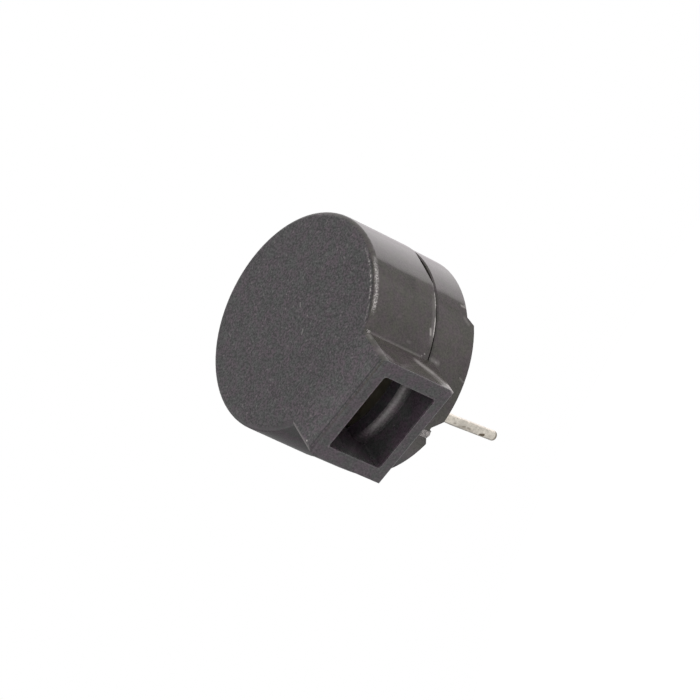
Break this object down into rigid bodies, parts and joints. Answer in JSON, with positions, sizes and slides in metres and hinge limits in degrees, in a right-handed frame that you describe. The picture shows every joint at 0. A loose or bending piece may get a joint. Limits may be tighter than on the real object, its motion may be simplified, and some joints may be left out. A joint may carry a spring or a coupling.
{
  "type": "piezo buzzer",
  "caption": "Round board-mounted piezo buzzer: dark moulded cap with a square sound port on its side, collared base on stand-offs, straight round pins underneath.",
  "frame": {"origin": "on the axis of the round body, midway between the two pins, in the plane of the circuit board that the stand-offs rest on", "axes": "+Z out of the closed face, away from the board; +X out of the sound port; the pins point along -Z and lie on the X axis"},
  "size_m": [0.0158, 0.014, 0.0154],
  "materials": {
    "cap_plastic": "fine spark-eroded matte",
    "base_plastic": "satin",
    "tinned_pin": "dull tin plate",
    "plate_brass": "rolled sheet",
    "silicone_bond": "satin",
    "piezo_ceramic": "matte",
    "fired_silver": "matte silver",
    "board_laminate": "solder mask",
    "pad_copper": "tinned copper",
    "chip_ceramic": "glazed top",
    "tinned_end": "tin plate",
    "solder": "bright",
    "moulded_epoxy": "matte",
    "black_sleeve": "satin",
    "red_sleeve": "satin",
    "blue_sleeve": "satin"
  },
  "bodies": {
    "root": {"cap": "cap_plastic", "base": "base_plastic", "pin_port_side": "tinned_pin", "pin_back_side": "tinned_pin", "diaphragm_plate": "plate_brass", "diaphragm_bond": "silicone_bond", "ceramic_disc": "piezo_ceramic", "main_electrode": "fired_silver", "feedback_electrode": "fired_silver", "circuit_board": "board_laminate", "board_pads": "pad_copper", "resistor_bodies": "chip_ceramic", "resistor_end_caps": "tinned_end", "chip_solder": "solder", "transistor_body": "moulded_epoxy", "transistor_leads": "tinned_end", "plate_wire": "black_sleeve", "main_wire": "red_sleeve", "feedback_wire": "blue_sleeve", "wire_solder": "solder", "element_solder": "solder", "pin_solder": "solder"}
  },
  "joints": []
}
